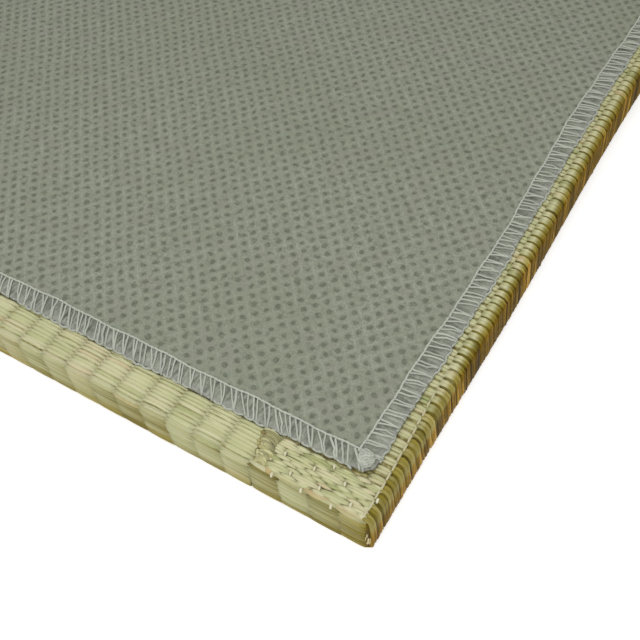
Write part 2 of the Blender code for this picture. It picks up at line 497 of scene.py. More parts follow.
def weaveStrands(dice, facing):
    spread = np.array([-1.17, -0.93, -0.56, 0.0, 0.56, 0.93, 1.17])  # past its column at both ends
    dip = np.array([1.35, 0.60, 0.12, 0.0, 0.12, 0.60, 1.35])
    # ends: painted shade where a rush goes under its neighbours
    ends = np.array([0.9, 0.40, 0.05, 0.0, 0.05, 0.40, 0.9])
    reach = spread[-1]
    half = columnWidth / 2
    bundle = Bundle()
    for column in range(mat["columns"]):
        middle = (column + 0.5) * columnWidth - mat["half"]
        fromSide = mat["half"] - abs(middle)
        outward = np.sign(middle)
        toSide = spread * outward / reach
        odd = column % 2
        foldAt = alongProfile(1.2 if odd else 2.0)
        columnHue = dice.normal(0, 0.06)
        columnBrown = dice.normal(0, 0.04)
        first = frontWeave["firstRow"] + odd * frontWeave["stagger"]
        rows = np.arange(first, profileLength, frontWeave["pitch"])
        rows = rows + dice.normal(0, 0.035, len(rows))
        rows = rows + np.where(rows > foldAt, frontWeave["foldGap"], 0)
        for s in rows:
            if s > profileLength - 0.1:
                continue
            if s < foldAt - 0.2 and fromSide < frontWeave["stripEnd"] + 1.5:
                continue
            x = middle + spread * half
            if fromSide < half + 0.1:  # last column, stopped short of the corner
                inner, outer = -half * reach, half - 1.0
                x = middle + outward * (inner + (outer - inner) * (toSide + 1) / 2)
            if abs(fromSide - frontWeave["stripEnd"] - 7.0) < half:  # runs up to the bound end
                x = x + outward * (1.5 - 0.12 * s) * np.clip(toSide, 0, 1) ** 2
            face = np.clip((s - alongProfile(0.9)) / 2.0, 0, 1)  # 0 on the strip, 1 on the face
            x = middle + (x - middle) * (1 - 0.11 * face)
            bow = dice.normal(0, frontWeave["wander"])
            lean = dice.normal(0, 0.06)
            line = s + bow * (1 - (spread / reach) ** 2) + lean * spread + dice.normal(0, 0.04, 7)
            thick = bounded(dice, 1.0, 0.12 - 0.05 * face, 0.76, 1.32)
            radius = frontWeave["radius"] * (1 + 0.16 * face) * thick
            swell = 1.03 - (0.52 - 0.44 * face) * np.abs(spread / reach) ** 3
            deep = frontWeave["dip"] * (1 - face) + frontWeave["faceDip"] * face
            sink = 0.80 * radius - 0.08 + dip * deep + abs(dice.normal(0, 0.05))
            inset, height = frontProfile(line, sink)
            tuck = 1.1 * np.clip((np.abs(x) - mat["half"] + 2.4) / 1.4, 0, 1) ** 2  # in at the corner
            y = facing * (mat["half"] - inset - tuck)
            hue = np.clip(dice.normal(0.54, 0.13) + columnHue - 0.10 * face, 0, 0.8)
            if dice.random() < 0.02:
                hue = 0.92
            low = np.clip((s - 19.0) / 4.5, 0, 1)
            # painted shade: browner just under the hem's edge
            nearHemShade = 0.22 * np.clip(1 - s / 1.2, 0, 1)
            # on the upright face the rushes are browner, partly their own tan and partly painted shade; the
            # spread term is painted shade, darker toward +X along each rush
            brown = face * (0.20 + columnBrown + 0.05 * spread + 0.09 * max(0.0, dice.normal(0, 0.5)))
            brown = brown + 0.5 * low * dice.uniform(0.3, 1) + nearHemShade
            brown = brown + face * (0.26 * max(0.0, 1 - fromSide / 15) + 0.6 * np.clip(tuck / 0.5, 0, 1))
            # painted shade along the fold
            fold = 0.30 * max(0.0, 1 - abs(s - alongProfile(0.8)) / 1.3)
            # painted shade under the flap's edge, darker and browner
            underFlapShade = (fromSide < frontWeave["stripEnd"]) * max(0.0, 1 - abs(s - alongProfile(0.3)))
            brown = brown + 0.2 * underFlapShade
            # dark is painted shade: at the rushes' ends, along the fold, over the upright face and under
            # the flap
            dark = ends * (1 - 0.72 * face) + fold + 0.2 * face + underFlapShade * (0.3 + 0.5 * ends)
            bundle.add(np.stack([x, y, height], axis=1), radius * swell, hue, dark, np.clip(brown, 0, 1))
    return bundle


rushAlongX = rushMaterial("driedRushAlongX", (70.0, 3600.0, 3600.0))
rushAlongY = rushMaterial("driedRushRoundSides", (140.0, 3600.0, 140.0))

for label, facing, seed, sides in (("front", -1, 11, 6), ("back", 1, 12, 5)):
    strands = weaveStrands(np.random.default_rng(seed), facing)
    strandPiece(label + "Rushes", strands, rushAlongX, flat=0.82, sides=sides)


# corner flaps: finer weave with pale warp stitches, between the bound end and the side

flapWeave = {
    "inner": 29.9,  # from the side edge
    "outer": 2.0,
    "longStep": 8.25,
    "dip": 0.30,
    # inset from the front edge, length of a rush, where one starts, its radius, half a pair's distance
    "rows": (
        {"inset": 9.75, "step": 4.12, "start": 0.9, "radius": 0.58, "pair": 0},
        {"inset": 8.80, "step": 8.25, "start": 6.5, "radius": 0.46, "pair": 0.34},
        {"inset": 7.70, "step": 4.12, "start": 2.6, "radius": 0.58, "pair": 0},
        {"inset": 6.60, "step": 8.25, "start": 1.8, "radius": 0.50, "pair": 0.42},
        {"inset": 5.45, "step": 4.12, "start": 3.9, "radius": 0.56, "pair": 0},
        {"inset": 4.65, "step": 4.12, "start": 1.8, "radius": 0.52, "pair": 0},
        {"inset": 3.85, "step": 4.12, "start": 3.9, "radius": 0.52, "pair": 0},
        {"inset": 2.85, "step": 8.25, "start": 6.4, "radius": 0.50, "pair": 0.42},
        {"inset": 1.80, "step": 4.12, "start": 4.3, "radius": 0.58, "pair": 0},
        {"inset": 1.00, "step": 8.25, "start": 2.1, "radius": 0.48, "pair": 0.32},
    ),
    "stitches": (  # pale warp stitches: inset, first one from the side, how many
        {"inset": 9.3, "first": 14.8, "count": 1},
        {"inset": 6.6, "first": 1.9, "count": 4},
        {"inset": 2.9, "first": 6.5, "count": 3},
        {"inset": 0.6, "first": 10.3, "count": 3},
    ),
}


def addFlap(bundle, dice, side, facing):
    spread = np.array([-1.12, -0.86, -0.5, 0.0, 0.5, 0.86, 1.12])
    swell = np.array([0.5, 0.78, 0.98, 1.05, 0.98, 0.78, 0.5])
    dip = np.array([1.15, 0.5, 0.1, 0.0, 0.1, 0.5, 1.15])
    # painted shade at the ends, where the rushes go under
    ends = np.array([0.7, 0.30, 0.05, 0.0, 0.05, 0.30, 0.7])
    for row in flapWeave["rows"]:
        end = flapWeave["inner"] + 0.28 * (row["inset"] - 5.05) + 0.5
        edges = np.arange(row["start"] - row["step"], end + row["step"], row["step"])
        for near, far in zip(edges[:-1], edges[1:]):
            near, far = max(near, flapWeave["outer"] - 0.3), min(far, end)
            if far - near < 1.3:
                continue
            middle, half = (near + far) / 2 + dice.normal(0, 0.12), (far - near) / 2
            away = np.linspace(max(middle - 1.12 * half, 1.5), middle + 1.12 * half, 7)
            hueBase = dice.normal(0.45, 0.2)
            for which in ((-1, 1) if row["pair"] else (0,)):
                radius = row["radius"] * bounded(dice, 1.0, 0.1, 0.8, 1.25)
                s = alongProfile(row["inset"]) + dice.normal(0, 0.06) + dice.normal(0, 0.08) * spread
                s = s + which * row["pair"] * (1 - 0.8 * np.abs(spread / 1.12) ** 2.5)
                s = s + dice.normal(0, 0.03, 7)
                sink = 0.66 * radius - 0.16 + dip * flapWeave["dip"] + abs(dice.normal(0, 0.07))
                path = cornerPath(side, facing, away, *frontProfile(s, sink))
                atFold = row["inset"] < 1.5
                hue = np.clip(hueBase + dice.normal(0, 0.1) + 0.50 * atFold, 0, 1)
                brown = 0.16 if atFold else 0.03
                bundle.add(path, radius * swell, hue, ends, brown * dice.uniform(0.6, 1.4))


corners = {"front_right": (1, -1), "front_left": (-1, -1), "back_right": (1, 1), "back_left": (-1, 1)}

flaps = Bundle()
dice = np.random.default_rng(21)
for side, facing in corners.values():
    addFlap(flaps, dice, side, facing)
strandPiece("cornerFlapRushes", flaps, rushAlongX, flat=0.8)


# rushes turned over the left and right sides

sideWeave = {
    "pitch": 2.7,
    "apart": 0.50,  # half the distance between the two rushes of a bar
    "radius": 0.60,
    "hemInset": 6.7,
    "split": 4.1,  # inset where the inner rushes meet the outer ones
    "cornerSplit": 2.3,  # the same near a corner, where a crisp ridge runs
    "ridgeFrom": 20.0,  # the ridge fades out between these distances from the corner
    "ridgeTo": 50.0,
    "flapInset": 9.6,  # the flap covers the strip up to here
    "slant": 1.7,  # how far a rush leans along the side by the time it reaches the floor
}


def sideStrands(dice, side):
    outer, inner, gaps = Bundle(), Bundle(), Bundle()
    outerSwell = np.array([0.7, 1.0, 1.12, 1.05, 1.02, 1.05, 1.12, 1.18, 1.2, 1.15, 0.8])
    # painted shade at the ends, where the rushes go under
    outerEndShade = np.array([0.9, 0.35, 0.0, 0.05, 0.15, 0.1, 0.05, 0.0, 0.0, 0.2, 0.9])
    gapSwell = 0.5 * np.array([0.7, 1.0, 0.9, 0.9, 1.0, 1.1, 1.1, 1.0])
    gapPaintedShade = np.array([0.7, 0.2, 0.1, 0.2, 0.3, 0.3, 0.3, 0.5])
    gapPaintedShadeNear = 0.35 * np.array([0, 1, 1, 1, 1, 0, 0, 0])
    innerSwell = np.array([0.8, 1.0, 1.08, 1.08, 1.0, 0.7])
    innerDip = np.array([0.42, 0.08, 0.0, 0.0, 0.10, 0.55])
    # painted shade at the ends, where the rushes go under
    innerEndShade = np.array([0.8, 0.3, 0.05, 0.05, 0.2, 0.8])
    t = np.linspace(0, 1, 6)
    half = mat["half"]
    for place in np.arange(-half + 2.0, half - 1.4, sideWeave["pitch"]):
        y0 = place + dice.normal(0, 0.10)
        fromCorner = half - abs(y0)
        near = np.interp(fromCorner, (sideWeave["ridgeFrom"], sideWeave["ridgeTo"]), (1, 0))
        split = sideWeave["split"] + (sideWeave["cornerSplit"] - sideWeave["split"]) * near
        # near a corner the brown starts higher, on the steep slope past the ridge: partly painted shade
        brownFrom = 15.3 - 4.2 * near
        fade = 1.3 + 0.9 * near
        barHue = dice.normal(0.55 + 0.04 * near, 0.12 + 0.05 * near)
        slant = sideWeave["slant"] * np.clip((fromCorner - 1.5) / 22, 0, 1)
        phase = dice.normal(0, 0.6)

        # outer rushes: over the edge, down and under
        skin = np.array([
            (split + 0.75, 14.45), (split + 0.1, 15.02), (0.62 * split, 15.22 - 0.22 * near),
            (0.26 * split, 14.8 - 0.35 * near), (0.10, 13.6 - 0.5 * near), (0.0, 11.6), (0.0, 9.2),
            (0.0, 6.8), (0.0, 4.3), (0.2, 2.1), (1.5, 0.45),
        ])
        along = np.gradient(skin, axis=0)
        along /= np.linalg.norm(along, axis=1, keepdims=True)
        inward = np.stack([-along[:, 1], along[:, 0]], axis=1)
        for which in (-1, 1):
            radius = sideWeave["radius"] * bounded(dice, 1, 0.1, 0.78, 1.2)
            lay = skin + 0.85 * radius * inward
            down = np.clip((12.0 - lay[:, 1]) / 11.0, 0, 1)
            y = y0 + which * (sideWeave["apart"] + 0.2 * down) + dice.normal(0, 0.04)
            y = y + dice.normal(0, 0.03, 11) + slant * down ** 1.3
            y = y + 0.22 * down * np.sin(5.0 * down + phase + which)
            inset = lay[:, 0] + 0.05 * down * np.sin(7.0 * down + 2 * phase * which)
            height = lay[:, 1] + dice.normal(0, 0.03)
            path = np.stack([side * (half - inset), y, height], axis=1)
            brown = np.clip((brownFrom - skin[:, 1]) / fade, 0, 1) * 0.97
            brown[3:] = np.maximum(brown[3:], 0.42)
            # near a corner, past the ridge, the rushes are browner and darker: painted shade on the steep
            # slope
            brown = np.maximum(brown, near * dice.uniform(0.34, 0.54))
            hue = barHue + dice.normal(0, 0.13) + (0.35 if dice.random() < 0.1 else 0) * (down > 0.2)
            hue = np.clip(hue + (0.20 * near - 0.12) * (down > 0.1), 0, 1)
            outer.add(path, radius * outerSwell, hue, outerEndShade + 0.1 * near, brown)

        # a thinner rush low in the gap beside the bar, painted darker and browner: painted shade in the
        # gap, more so near a corner
        y1 = y0 + sideWeave["pitch"] / 2 + dice.normal(0, 0.08)
        lay = (skin + np.linspace(0.50, 0.42, 11)[:, None] * inward)[[1, 2, 3, 4, 5, 7, 9, 10]]
        leaning = slant * np.clip((12.0 - lay[:, 1]) / 11.0, 0, 1) ** 1.3
        path = np.stack([side * (half - lay[:, 0]), y1 + leaning, lay[:, 1]], axis=1)
        thick = gapSwell * bounded(dice, 1, 0.12, 0.7, 1.3)
        # browner in the gap, more so near a corner: painted shade
        deep = np.clip((brownFrom - lay[:, 1]) / fade, 0.25 + 0.4 * near, 1.0)
        gaps.add(path, thick, dice.uniform(0, 0.5), gapPaintedShade + gapPaintedShadeNear * near, deep)

        # inner rushes: short ones between the hem and the split, half a step further on
        if fromCorner < sideWeave["flapInset"]:
            continue
        for which in (-1, 1):
            radius = sideWeave["radius"] * bounded(dice, 0.92, 0.09, 0.75, 1.1)
            y = y0 + sideWeave["pitch"] / 2 + which * 0.52 * (1 - 0.25 * t ** 3)
            y = y + dice.normal(0, 0.06) + dice.normal(0, 0.08) * t
            inset = sideWeave["hemInset"] + (split - 0.35 - sideWeave["hemInset"]) * t
            height = 15.08 - 0.85 * radius - innerDip + dice.normal(0, 0.04)
            path = np.stack([side * (half - inset), y, height], axis=1)
            hue = np.clip(barHue + dice.normal(-0.05, 0.13), 0, 0.86)
            inner.add(path, radius * innerSwell, hue, innerEndShade, 0.06 + 0.06 * near)
    return outer, inner, gaps


for label, side, seed, sides in (("right", 1, 31, 6), ("left", -1, 32, 5)):
    outer, inner, gaps = sideStrands(np.random.default_rng(seed), side)
    strandPiece(label + "SideRushes", outer, rushAlongY, up=(0.0, 1.0, 0.0), sides=sides)
    strandPiece(label + "SideInnerRushes", inner, rushAlongX, sides=5)
    strandPiece(label + "SideUnderRushes", gaps, rushAlongY, up=(0.0, 1.0, 0.0), sides=4)


# tufts of rush ends at the four upright corners

cornerTufts = {
    "strands": 19,
    "reach": 1.08,
    "paleReach": 1.22,  # every third strand is short and pale and stands out a little
    "radius": 0.36,
    "low": 0.8,
    "high": 13.9,
    "middle": 1.75,  # the tuft's axis is this far in from both edges
}


def tuftStrands(dice):
    bundle = Bundle()
    t = np.linspace(0, 1, 9)
    under = mat["underRadius"]
    for side, facing in corners.values():
        for k in range(cornerTufts["strands"]):
            turn = math.radians(-15 + 120 * (k + 0.5) / cornerTufts["strands"])
            low = cornerTufts["low"] + dice.uniform(0, 2.5) * (k % 3 == 0)
            high = cornerTufts["high"] - dice.uniform(0, 4) * (k % 2)
            reach = cornerTufts["reach"] * dice.uniform(0.82, 1.05)
            sway = 0.22 * np.sin(3.5 * t + dice.uniform(0, 6))
            bend = 0.9 * np.clip(t - 0.75, 0, 1) ** 1.5
            pale = k % 3 == 2
            if pale:
                low = low + dice.uniform(0.0, 5.0)
                high = low + dice.uniform(3.0, 5.0)
                reach = cornerTufts["paleReach"]
            z = low + (high - low) * t
            out = reach - 2.2 * bend - under * (1 - np.sqrt(1 - np.clip(1 - z / under, 0, 1) ** 2))
            fromSide = cornerTufts["middle"] - out * math.cos(turn) - sway * math.sin(turn)
            fromFront = cornerTufts["middle"] - out * math.sin(turn) + sway * math.cos(turn)
            path = cornerPath(side, facing, fromSide, fromFront, z)
            radius = cornerTufts["radius"] * dice.uniform(0.75, 1.2) * (1 - 0.5 * np.abs(2 * t - 1) ** 3)
            brown = (0.2 if pale else 0.95) * np.clip(1.15 - 0.4 * t, 0, 1)
            hue = 0.95 if pale else dice.uniform(0.0, 1.0)
            dark = 0.0 if pale else dice.uniform(0, 0.5)
            bundle.add(path, radius, hue, dark, brown)
    return bundle


tufts = tuftStrands(np.random.default_rng(35))
strandPiece("cornerTufts", tufts, rushAlongY, up=(1.0, 0.0, 0.0))


# cotton warp: pale stitches, ridge threads and the bound end of the selvedge

warpLooks = {"colour": (240, 236, 210), "shadow": (206, 198, 156), "radius": 0.27}


def threadMaterial(name, pale, dark, roughness):
    m = Recipe(name)
    one, end, _ = m.tints()
    fuzz = m.noise(3800.0, 3.0, 0.7)
    patch = m.noise(160.0)
    amount = m.add(m.times(fuzz, 0.5), m.line(one, 0.45, -0.1))
    amount = m.math("ADD", amount, m.line(patch, 0.3, -0.15), clamp=True)
    colour = m.blend(amount, dark, pale)
    # the tint's second channel darkens: painted shade on some threads (the bound end's hollow and core, the
    # overlock legs at the rim) and a fixed or random darker tone on others
    colour = m.shade(colour, m.line(end, -0.5, 1.0))
    m.shader.inputs["Sheen Weight"].default_value = 0.25
    m.shader.inputs["Sheen Roughness"].default_value = 0.5
    return m.finish(colour, roughness, fuzz, 0.12)


warpThread = threadMaterial("cottonWarp", warpLooks["colour"], warpLooks["shadow"], 0.75)


def stitchStrands(dice):
    bundle = Bundle()
    step = np.linspace(-0.62, 0.62, 5)
    lift = np.array([-0.3, 0.16, 0.30, 0.16, -0.3])
    swell = np.array([0.8, 1.1, 1.2, 1.1, 0.8])
    for side, facing in corners.values():
        for row in flapWeave["stitches"]:
            for k in range(row["count"]):
                away = row["first"] + k * flapWeave["longStep"] + dice.normal(0, 0.12)
                s = alongProfile(row["inset"]) + step + dice.normal(0, 0.05)
                away = away - 0.2 * step - dice.normal(0, 0.03, 5)
                path = cornerPath(side, facing, away, *frontProfile(s, -lift))
                bundle.add(path, warpLooks["radius"] * swell, dice.uniform(0.7, 1.0), 0.0)
    return bundle


dice = np.random.default_rng(41)
strandPiece("warpStitches", stitchStrands(dice), warpThread, up=(1.0, 0.0, 0.0))


ridgeThread = {"radius": 0.27, "from": 2.6, "to": 40.0, "step": 2.7}


def ridgeStrands(dice):
    bundle = Bundle()
    t = np.linspace(-1, 1, 7)
    for side, facing in corners.values():
        for away in np.arange(ridgeThread["from"], ridgeThread["to"], ridgeThread["step"]):
            fade = np.clip((away - 16) / 26, 0, 1)
            length = ridgeThread["step"] * (0.52 - 0.12 * fade)
            along = away + length * t + dice.normal(0, 0.1)
            inset = 2.45 + 1.3 * fade ** 1.3 + dice.normal(0, 0.05) + 0.05 * t
            height = 15.02 - 0.12 * fade - 0.42 * t ** 4 + dice.normal(0, 0.03)
            path = cornerPath(side, facing, inset, along, height)
            radius = ridgeThread["radius"] * (1.1 - 0.5 * t ** 4) * (1 - 0.2 * fade)
            bundle.add(path, radius, 0.15 - 0.3 * fade + dice.normal(0, 0.15), 0.16)
    return bundle


strandPiece("ridgeThreads", ridgeStrands(dice), warpThread)


boundEnd = {
    "fromSide": 31.4,
    "lean": 0.28,
    "from": 1.9,
    "to": 9.9,
    "middle": 5.05,
    "wraps": 18,
    "spread": 0.9,  # it opens out by this toward the hem, on the corner's side
}


def boundStrands(dice):
    bundle = Bundle()
    turns = np.radians(np.linspace(-118, 118, 9))
    coreHeight = np.array([13.2, 13.9, 14.35, 14.5, 14.5, 14.5, 14.5, 14.5, 14.45])
    coreRadius = np.array([0.7, 1.2, 1.5, 1.6, 1.6, 1.6, 1.6, 1.6, 1.4])
    for side, facing in corners.values():
        away = np.linspace(boundEnd["from"] - 0.9, boundEnd["to"], 9)
        x = boundEnd["fromSide"] + boundEnd["lean"] * (away - boundEnd["middle"])
        # the core under the wraps is darkened: painted shade between them
        bundle.add(cornerPath(side, facing, x, away, coreHeight), coreRadius, 0.1, 0.5)
        for k in range(boundEnd["wraps"]):
            share = (k + 0.5) / boundEnd["wraps"]
            away = boundEnd["from"] + (boundEnd["to"] - boundEnd["from"]) * share
            spread = boundEnd["spread"] * share ** 2
            middle = boundEnd["fromSide"] + boundEnd["lean"] * (away - boundEnd["middle"])
            middle = middle + dice.normal(0, 0.25) - spread
            wide = dice.uniform(1.2, 1.75) + spread
            high = dice.uniform(0.75, 1.25)
            tilt = bounded(dice, 0.15, 0.5, -0.6, 0.8)
            x = middle + wide * np.sin(turns)
            y = away + tilt * np.sin(turns) + 0.2 * np.cos(2 * turns)
            z = 14.75 + high * np.cos(turns) - 0.9 * max(0.0, (3.2 - away) / 1.5)
            radius = dice.uniform(0.34, 0.52) * (1 + 0.12 * np.sin(3 * turns + dice.uniform(0, 6)))
            hue, dark = dice.uniform(0.0, 1.2), 0.9 * dice.random() ** 2
            # painted shade on the wraps' side nearer the mat's edge, midway along the bound end; the random
            # dark is tone
            hollowShade = 0.85 * math.exp(-((share - 0.52) / 0.13) ** 2) * np.clip(0.25 - np.sin(turns), 0, 1)
            bundle.add(cornerPath(side, facing, x, y, z), radius, hue, np.minimum(dark + hollowShade, 1.1))
    return bundle


boundThread = threadMaterial("boundEndThread", (234, 231, 180), (178, 172, 108), 0.6)
strandPiece("boundEnds", boundStrands(dice), boundThread, up=(0.2, 0.98, 0.0))


# cloth backing

clothSize = {
    "halfX": mat["half"] - mat["sideMargin"],
    "halfY": mat["half"] - mat["frontMargin"],
    "hem": 5.6,
    "top": 15.7,
    "thickness": 0.95,
    "cells": 90,
    "dotsPerX": (236.8, 1.6, 97.78),  # dots a metre along X, along Y, and the phase
    "dotsPerY": (-2.5, 202.45, 82.25),
    "dotStepX": 4.22,  # from a dot to the next one in its row
    "dotStepY": 4.94,
    "dotRadius": 0.72,
    "cornerCut": 2.2,
    "pull": 1.1,  # the front and back hems draw in by this at the corners
    "pullDeep": 5.0,  # less and less up to this far from the rim
    "pullFrom": 38.0,  # and start to do so this far from them
}


def hemPull(fromCorner, inset):
    nearness = np.clip(1 - fromCorner / clothSize["pullFrom"], 0, 1)
    return clothSize["pull"] * nearness * np.clip(1 - inset / clothSize["pullDeep"], 0, 1)


clothLooks = {
    "tones": [(0.22, (108, 113, 95)), (0.5, (138, 143, 125)), (0.78, (167, 172, 154))],
    "pressed": (170, 176, 160),
    "moss": (136, 144, 118),
    "earth": (146, 142, 130),
    "speck": (92, 98, 80),
    "dot": (88, 94, 78),
    # hemTones: the hem's own grey-green, its dark end painted shade between the stitch legs
    "hemTones": [(0.15, (72, 76, 66)), (0.5, (130, 134, 121)), (0.85, (170, 174, 160))],
    "rimDark": (128, 124, 124),
    "rimPale": (186, 186, 174),
}


def clothMaterial():
    m = Recipe("nonwovenCloth")
    spot = m.object
    for scale, detail, size in ((55.0, 2.0, 1.6 * mm), (420.0, 3.0, 1.5 * mm)):  # the dots wander
        wave = m.node("ShaderNodeTexNoise", {"Vector": m.object, "Scale": scale, "Detail": detail})
        shift = m.vector("SUBTRACT", wave.outputs["Color"], (0.5, 0.5, 0.5))
        spot = m.vector("ADD", spot, m.vector("MULTIPLY", shift, (size, size, 0)))
    sx, sy, _ = m.split(spot)

    def count(rate):
        return m.add(m.times(sx, rate[0]), m.line(sy, rate[1], rate[2]))

    u, v = count(clothSize["dotsPerX"]), count(clothSize["dotsPerY"])

    def nearest(offset):
        a, b = m.fold(m.add(u, offset)), m.fold(m.add(v, offset))
        off = m.join(m.times(a, clothSize["dotStepX"]), m.times(b, clothSize["dotStepY"]))
        return m.vector("LENGTH", off)

    away = m.math("MINIMUM", nearest(0.5), nearest(0.0))
    away = m.add(away, m.minus(m.noise(620.0, 2.0, 0.6), 0.5))
    dot = m.ramp(away, clothSize["dotRadius"] * 0.5, clothSize["dotRadius"] * 1.45, 1.0, 0.0)
    ring = m.times(dot, m.ramp(m.noise(900.0, 2.0, 0.7), 0.3, 0.62, 0.45, 1.0))
    # pressed lines running both ways midway between the dots
    lineA = m.ramp(m.fold(m.add(u, v)), 0.02, 0.13, 0.9, 0.0)
    lineB = m.ramp(m.fold(m.minus(u, v)), 0.02, 0.13, 0.75, 0.0)
    lines = m.math("MAXIMUM", lineA, lineB)
    fibre = m.noise(1500.0, 4.0, 0.65)
    hair = m.noise((300.0, 2600.0, 300.0))
    weft = m.noise((2600.0, 300.0, 300.0))
    tone = m.add(m.line(fibre, 0.6, 0.05), m.add(m.times(hair, 0.2), m.times(weft, 0.15)))
    colour = m.colours(tone, clothLooks["tones"])
    broken = m.ramp(m.noise(260.0), 0.35, 0.6)
    colour = m.blend(m.times(m.times(lines, broken), 0.5), colour, clothLooks["pressed"])
    colour = m.shade(colour, m.line(m.noise(3300.0, 2.0, 0.7), 0.5, 0.76))
    moss = m.ramp(m.noise(24.0, 3.0), 0.35, 0.7, 0.0, 0.35)
    colour = m.blend(moss, colour, clothLooks["moss"])
    earth = m.ramp(m.noise(120.0, 1.0), 0.5, 0.68, 0.0, 0.3)
    colour = m.blend(earth, colour, clothLooks["earth"])
    speck = m.ramp(m.noise(520.0, 1.0), 0.6, 0.7)
    colour = m.blend(m.times(speck, 0.34), colour, clothLooks["speck"])
    colour = m.blend(m.times(ring, 0.74), colour, clothLooks["dot"])
    # hem under the stitches; its darkest tones and its darkening toward the chain are painted shade under
    # and between the stitch legs
    x, y, _ = m.split(m.node("ShaderNodeAttribute", attribute_name="straight").outputs["Vector"])
    edgeX = m.minus(clothSize["halfX"] * mm, m.math("ABSOLUTE", x))
    edgeY = m.minus(clothSize["halfY"] * mm, m.math("ABSOLUTE", y))
    edge = m.math("MINIMUM", edgeX, edgeY)
    hem = m.ramp(edge, (clothSize["hem"] - 0.6) * mm, (clothSize["hem"] - 0.1) * mm, 1.0, 0.0)
    rungsX = m.noise((170.0, 1300.0, 170.0))
    rungsY = m.noise((1300.0, 170.0, 170.0))
    rungs = m.line(m.minus(rungsX, rungsY), m.math("LESS_THAN", edgeX, edgeY), rungsY)
    hemTone = m.line(m.noise(1200.0, 3.0, 0.7), 0.7, m.line(rungs, 1.3, -0.5))
    hemColour = m.colours(hemTone, clothLooks["hemTones"])
    # painted shade: darker toward the chain, lighter toward the rim
    hemColour = m.shade(hemColour, m.ramp(edge, 3.0 * mm, 5.2 * mm, 1.06, 0.84))
    rim = m.ramp(edge, 0.0, 2.2 * mm, 1.0, 0.0)
    rimColour = m.blend(fibre, clothLooks["rimDark"], clothLooks["rimPale"])
    hemColour = m.blend(m.times(rim, 0.6), hemColour, rimColour)
    colour = m.blend(m.times(hem, 0.9), colour, hemColour)
    bumpDots = m.times(dot, m.minus(1.0, hem))
    height = m.minus(m.line(lines, 0.35, m.times(fibre, 0.25)), bumpDots)
    return m.finish(colour, 0.85, height, 0.22)


def makeCloth():
    size = clothSize
    stepsIn = (0.0, 0.25, 1.4, 3.2, 5.0, 5.7, 6.4)

    def lines(rim):
        outer = rim - np.array(stepsIn)
        return np.sort([*-outer, *np.linspace(9 - rim, rim - 9, size["cells"]), *outer])

    across, along = lines(size["halfX"]), lines(size["halfY"])
    bm = bmesh.new()
    bmesh.ops.create_grid(bm, x_segments=len(across) - 1, y_segments=len(along) - 1, size=1.0)
    wave = np.random.default_rng(5).uniform(0, 6.28, 8)
    straight = []
    for vert in bm.verts:
        x = across[round((vert.co.x + 1) / 2 * (len(across) - 1))]
        y = along[round((vert.co.y + 1) / 2 * (len(along) - 1))]
        edge = min(size["halfX"] - abs(x), size["halfY"] - abs(y))
        ragged = 0.22 * math.sin(x * 0.9 + wave[0]) * math.sin(x * 0.37 + y * 0.41)
        ragged += 0.12 * math.sin(y * 1.3 + wave[1])
        if size["halfX"] - abs(x) < 0.1:
            x += math.copysign(ragged, x)
        if size["halfY"] - abs(y) < 0.1:
            y += math.copysign(ragged, y)
        swell = 0.09 * math.sin(x / 17 + wave[2]) * math.sin(y / 23 + wave[3])
        swell += 0.06 * math.sin(x / 7.3 + y / 9.1 + wave[4])
        raised = np.interp(edge, (0, 0.25, 1.4, 5.0, 5.7, 6.4), (-0.12, 0.2, 0.3, 0.3, 0.1, 0.0))
        z = size["top"] + raised + swell * np.clip((edge - 5) / 12, 0, 1)
        over = abs(x) + abs(y) - (size["halfX"] + size["halfY"] - size["cornerCut"])
        if over > 0:  # the cut corner under the knot
            x -= math.copysign(over / 2, x)
            y -= math.copysign(over / 2, y)
        straight.append((x * mm, y * mm, z * mm))
        pulled = hemPull(size["halfX"] - abs(x), size["halfY"] - abs(y))
        vert.co = (bowOut(x, y) * mm, (y - math.copysign(pulled, y)) * mm, z * mm)
    mesh = bpy.data.meshes.new("clothBacking")
    bmesh.ops.recalc_face_normals(bm, faces=bm.faces)
    if sum(face.normal.z for face in bm.faces) < 0:
        bmesh.ops.reverse_faces(bm, faces=bm.faces)
    bm.to_mesh(mesh)
    bm.free()
    kept = mesh.attributes.new("straight", "FLOAT_VECTOR", "POINT")
    kept.data.foreach_set("vector", np.ravel(straight))
    mesh.shade_smooth()
    mesh.materials.append(clothMaterial())
    piece = addObject("clothBacking", mesh)
    thick = piece.modifiers.new("thickness", "SOLIDIFY")
    thick.thickness = size["thickness"] * mm
    thick.offset = -1
    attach(piece, "root")
    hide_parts("backing_cloth")
    print("clothBacking has", len(mesh.polygons), "faces before its thickness")
    return piece


clothBacking = makeCloth()


# overlock stitches along the hem

stitching = {
    "step": 1.6,
    "legRadius": 0.27,
    "frontShift": 3.4,
    "sideShift": 1.0,
    "endGap": 5.0,  # from a corner of the cloth to the first stitch
    "top": 16.0,
    "pieces": 10,  # each long line is cut into these
    "rings": 120,
    "lines": (  # the chain on the cloth side and the looped line on the rim
        {"name": "Chain", "inset": 5.5, "radius": 0.30, "height": 16.06, "loop": 0.05,
         "wobble": 1.0, "phase": 1.0, "hue": 0.85, "dark": 0.0},
        {"name": "Rim", "inset": 0.02, "radius": 0.34, "height": 15.55, "loop": 0.22,
         "wobble": 1.5, "phase": 4.0, "hue": 0.6, "dark": 0.2},
    ),
}

hemThread = threadMaterial("overlockThread", (214, 219, 204), (168, 173, 160), 0.8)


